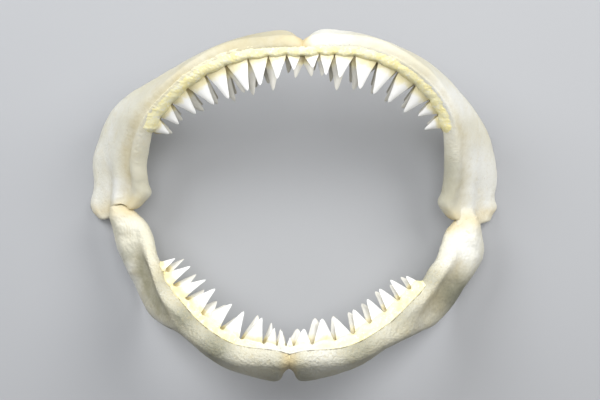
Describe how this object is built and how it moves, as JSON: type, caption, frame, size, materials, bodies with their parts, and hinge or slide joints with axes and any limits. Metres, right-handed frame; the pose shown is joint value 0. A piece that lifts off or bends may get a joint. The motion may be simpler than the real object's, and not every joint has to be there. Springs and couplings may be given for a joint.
{
  "type": "dried bull shark jaw (upper and lower jaw cartilages with teeth)",
  "caption": "Dried open jaws of a large bull shark, lying on their back with the gape upward: cartilage arches, gum bands and rows of triangular teeth.",
  "frame": {"origin": "centre of the footprint on the floor, between the two jaw joints and a little towards the lower jaw", "axes": "+X across the jaws, towards the joint with the ligament on its face; +Y from the hinge line towards the upper jaw; +Z the way the open mouth faces, up from the floor"},
  "size_m": [0.4224, 0.343, 0.1531],
  "materials": {
    "cartilage": "matt dried cartilage, ivory with yellow-tan furrows",
    "gum_and_teeth": "matt dried gum, cream to yellow, with satin white teeth",
    "symphysis_pad": "matt yellow-tan dried fibrous tissue",
    "ligament": "slightly glossy cream dried ligament"
  },
  "bodies": {
    "root": {"palatoquadrate_left": "cartilage", "palatoquadrate_right": "cartilage", "meckels_cartilage_left": "cartilage", "meckels_cartilage_right": "cartilage", "upper_gum_left": "gum_and_teeth", "upper_gum_right": "gum_and_teeth", "lower_gum_left": "gum_and_teeth", "lower_gum_right": "gum_and_teeth", "upper_symphysis": "symphysis_pad", "lower_symphysis": "symphysis_pad", "hinge_ligament_left": "ligament", "hinge_ligament_right": "ligament"}
  },
  "joints": []
}
